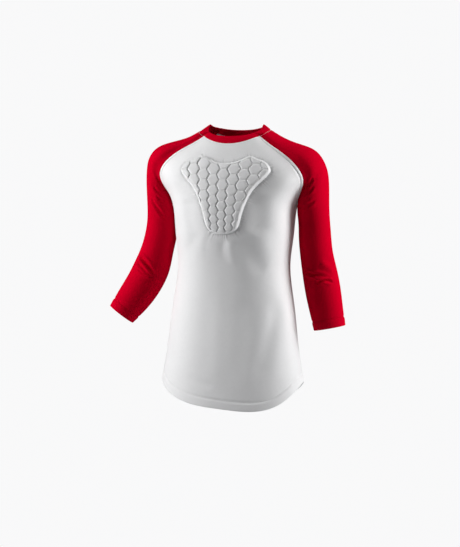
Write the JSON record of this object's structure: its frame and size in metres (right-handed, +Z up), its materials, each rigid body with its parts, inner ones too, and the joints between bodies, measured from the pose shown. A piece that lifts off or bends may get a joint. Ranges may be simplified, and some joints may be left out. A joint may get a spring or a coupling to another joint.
{
  "type": "padded compression shirt",
  "caption": "Padded compression shirt, filled out as when worn: white body, red three-quarter raglan sleeves and neckband, rounded shirt-tail hem, honeycomb pad over the chest.",
  "frame": {"origin": "centre of the neck opening, level with the top of the neckband's sides", "axes": "+Z up along the wearer's body, +X to the wearer's left, the front faces -Y"},
  "size_m": [0.593, 0.2516, 0.7021],
  "materials": {
    "white_knit": "satin",
    "red_knit": "satin",
    "pad_knit": "matte"
  },
  "bodies": {
    "root": {"front_panel": "white_knit", "back_panel": "white_knit", "sleeve_left": "red_knit", "sleeve_right": "red_knit", "neckband": "red_knit", "chest_pad": "pad_knit"}
  },
  "joints": []
}
